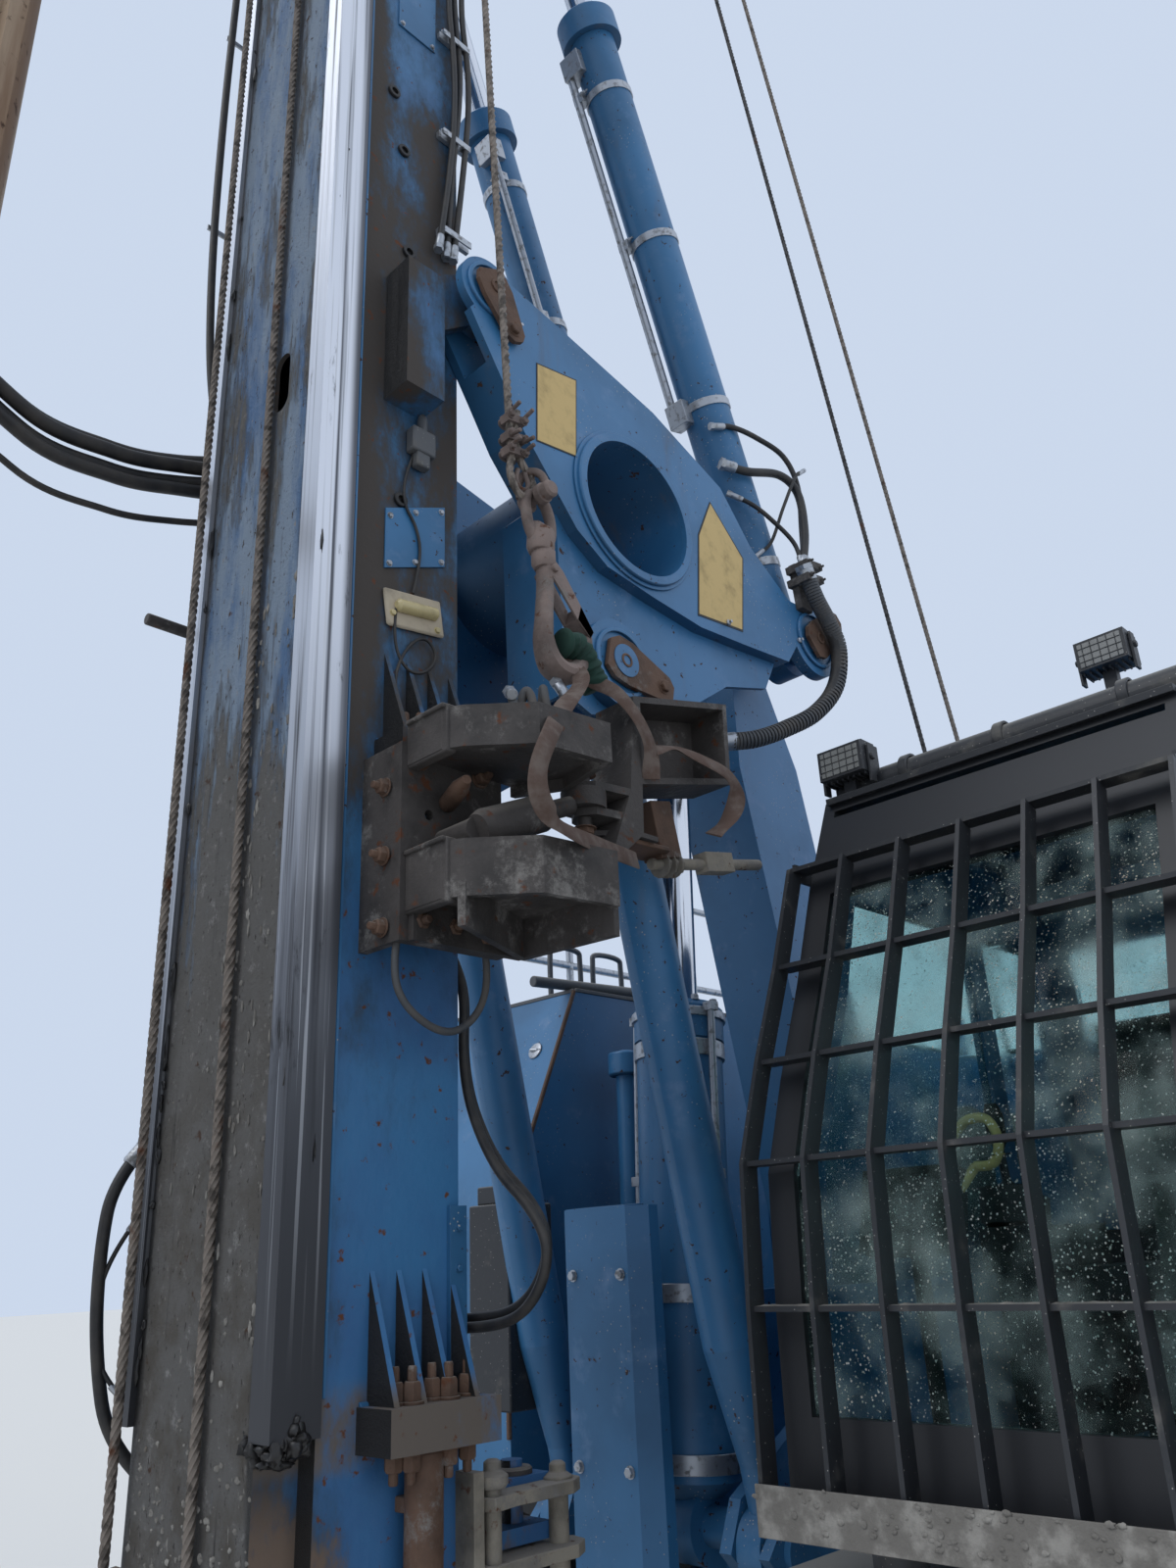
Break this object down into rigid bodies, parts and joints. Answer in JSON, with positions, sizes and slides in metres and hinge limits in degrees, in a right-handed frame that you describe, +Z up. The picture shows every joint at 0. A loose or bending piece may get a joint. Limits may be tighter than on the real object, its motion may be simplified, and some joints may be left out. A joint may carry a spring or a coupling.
{
  "type": "rotary piling rig",
  "caption": "Tracked rotary piling rig with an upright mast on a parallelogram linkage, a kelly bar, a guarded cab, houses and winches.",
  "frame": {"origin": "middle of the footprint, on the ground", "axes": "+Z up, +X forward from the cab to the drill axis, +Y to the operator's left"},
  "size_m": [8.2004, 4.1, 19.33],
  "materials": {
    "tracks": "worn track steel with dry soil",
    "undercarriage": "dark paint, dusty",
    "steel": "bare worn steel",
    "blue": "blue enamel, scuffed, with rust and cement spatter",
    "grey": "grey paint, worn",
    "glass": "tinted",
    "seat": "matte",
    "black": "black paint, dusty",
    "iron": "bare casting",
    "chrome": "ground and plated",
    "polished": "polished by the guide shoes, greasy",
    "kelly": "rusty tan with bright ribs"
  },
  "bodies": {
    "undercarriage": {"carbody": "undercarriage", "track_frames": "undercarriage", "track_left": "tracks", "track_right": "tracks", "track_wheels": "undercarriage", "slew_ring": "steel"},
    "turret": {"turret_frame": "blue", "platforms": "grey", "front_cover": "blue", "cab_shell": "blue", "cab_glass": "glass", "cab_seat": "seat", "cab_guard": "black", "cab_visor": "black", "right_house": "blue", "left_tank": "blue", "engine_house": "blue", "engine_block": "iron", "counterweight": "blue", "winch_frame": "blue", "handrails": "grey"},
    "cab_door_leaf": {"cab_door": "blue", "cab_door_glass": "glass"},
    "main_drum": {"main_winch_drum": "steel"},
    "aux_drum": {"aux_winch_drum": "steel"},
    "arms": {"lower_arms": "blue"},
    "link": {"upper_link": "blue"},
    "triangle": {"triangle_link": "blue"},
    "luff_barrel": {"luffing_barrel": "blue"},
    "luff_rod": {"luffing_rod": "chrome"},
    "tilt_barrels": {"mast_cylinder_barrels": "blue"},
    "tilt_rods": {"mast_cylinder_rods": "chrome"},
    "mast": {"mast_main": "blue", "mast_lower": "blue", "mast_foot": "blue", "mast_rails": "polished", "mast_head": "blue", "guide_bracket": "iron", "guide_jaws": "iron", "guide_cylinder": "iron", "guide_box": "iron"},
    "sheave_1": {"sheave_main_rear": "iron"},
    "sheave_2": {"sheave_main_front": "iron"},
    "sheave_3": {"sheave_aux_rear": "iron"},
    "sheave_4": {"sheave_aux_side": "iron"},
    "carriage": {"rotary_carriage": "blue", "rotary_drive": "blue"},
    "guide": {"kelly_guide": "blue", "swivel": "steel"},
    "kelly": {"kelly_bar": "kelly"}
  },
  "joints": [
    {"name": "slew", "type": "hinge", "parent": "undercarriage", "child": "turret", "pos_m": [-0.30023, 0, 0.956], "axis": [0, 0, 1], "continuous": true},
    {"name": "cab_door_hinge", "type": "hinge", "parent": "turret", "child": "cab_door_leaf", "pos_m": [0.49777, 1.95, 2.05], "axis": [0, 0, 1], "range_deg": [0, 100]},
    {"name": "main_drum_spin", "type": "hinge", "parent": "turret", "child": "main_drum", "pos_m": [-1.70023, 0, 2.15], "axis": [0, 1, 0], "continuous": true},
    {"name": "aux_drum_spin", "type": "hinge", "parent": "turret", "child": "aux_drum", "pos_m": [-2.38023, 0, 2.15], "axis": [0, 1, 0], "continuous": true},
    {"name": "arm_luff", "type": "hinge", "parent": "turret", "child": "arms", "pos_m": [1.05977, 0, 1.1], "axis": [0, 1, 0], "range_deg": [-6, 13]},
    {"name": "triangle_pivot", "type": "hinge", "parent": "arms", "child": "triangle", "pos_m": [1.58023, 0, 3.56976], "axis": [0, 1, 0], "range_deg": [-13.02, 6.02]},
    {"name": "link_pivot", "type": "hinge", "parent": "turret", "child": "link", "pos_m": [-0.08523, 0, 1.59], "axis": [0, 1, 0], "range_deg": [-6.02, 13.02]},
    {"name": "luff_barrel_pivot", "type": "hinge", "parent": "turret", "child": "luff_barrel", "pos_m": [0.92977, 0, 1.1], "axis": [0, 1, 0], "range_deg": [-5.45, 11.78]},
    {"name": "luff_rod_slide", "type": "slide", "parent": "luff_barrel", "child": "luff_rod", "axis": [-0.062, 0, 0.9981], "range_m": [-0.15708, 0.07277]},
    {"name": "mast_tilt", "type": "hinge", "parent": "triangle", "child": "mast", "pos_m": [2.09523, 0, 4.73476], "axis": [0, 1, 0], "range_deg": [-15, 5]},
    {"name": "tilt_barrel_pivot", "type": "hinge", "parent": "triangle", "child": "tilt_barrels", "pos_m": [0.43523, 0, 4.05976], "axis": [0, 1, 0], "range_deg": [-11.49, 3.84]},
    {"name": "tilt_rod_slide", "type": "slide", "parent": "tilt_barrels", "child": "tilt_rods", "axis": [0.3229, 0, 0.9464], "range_m": [-0.37534, 0.12545]},
    {"name": "main_rear_sheave_spin", "type": "hinge", "parent": "mast", "child": "sheave_1", "pos_m": [2.35023, -0.06, 18.96], "axis": [0, 1, 0], "continuous": true},
    {"name": "main_front_sheave_spin", "type": "hinge", "parent": "mast", "child": "sheave_2", "pos_m": [3.25023, -0.06, 18.96], "axis": [0, 1, 0], "continuous": true},
    {"name": "aux_rear_sheave_spin", "type": "hinge", "parent": "mast", "child": "sheave_3", "pos_m": [2.35023, 0.06, 18.96], "axis": [0, 1, 0], "continuous": true},
    {"name": "aux_side_sheave_spin", "type": "hinge", "parent": "mast", "child": "sheave_4", "pos_m": [2.30023, 0.56, 18.96], "axis": [0, 1, 0], "continuous": true},
    {"name": "carriage_slide", "type": "slide", "parent": "mast", "child": "carriage", "axis": [0, 0, 1], "range_m": [-5.5, 1.3]},
    {"name": "kelly_guide_slide", "type": "slide", "parent": "mast", "child": "guide", "axis": [0, 0, 1], "range_m": [-1, 1.2]},
    {"name": "kelly_spin", "type": "hinge", "parent": "guide", "child": "kelly", "pos_m": [3.60023, 0, 12.7], "axis": [0, 0, 1], "continuous": true}
  ],
  "couplings": [
    {"joint": "triangle_pivot", "follows": "arm_luff", "ratio": -1},
    {"joint": "link_pivot", "follows": "arm_luff", "ratio": 1},
    {"joint": "luff_barrel_pivot", "follows": "arm_luff", "ratio": 0.90483},
    {"joint": "luff_rod_slide", "follows": "arm_luff", "m_per_rad": -0.69012},
    {"joint": "tilt_barrel_pivot", "follows": "mast_tilt", "ratio": 0.76473},
    {"joint": "tilt_rod_slide", "follows": "mast_tilt", "m_per_rad": 1.4318}
  ]
}
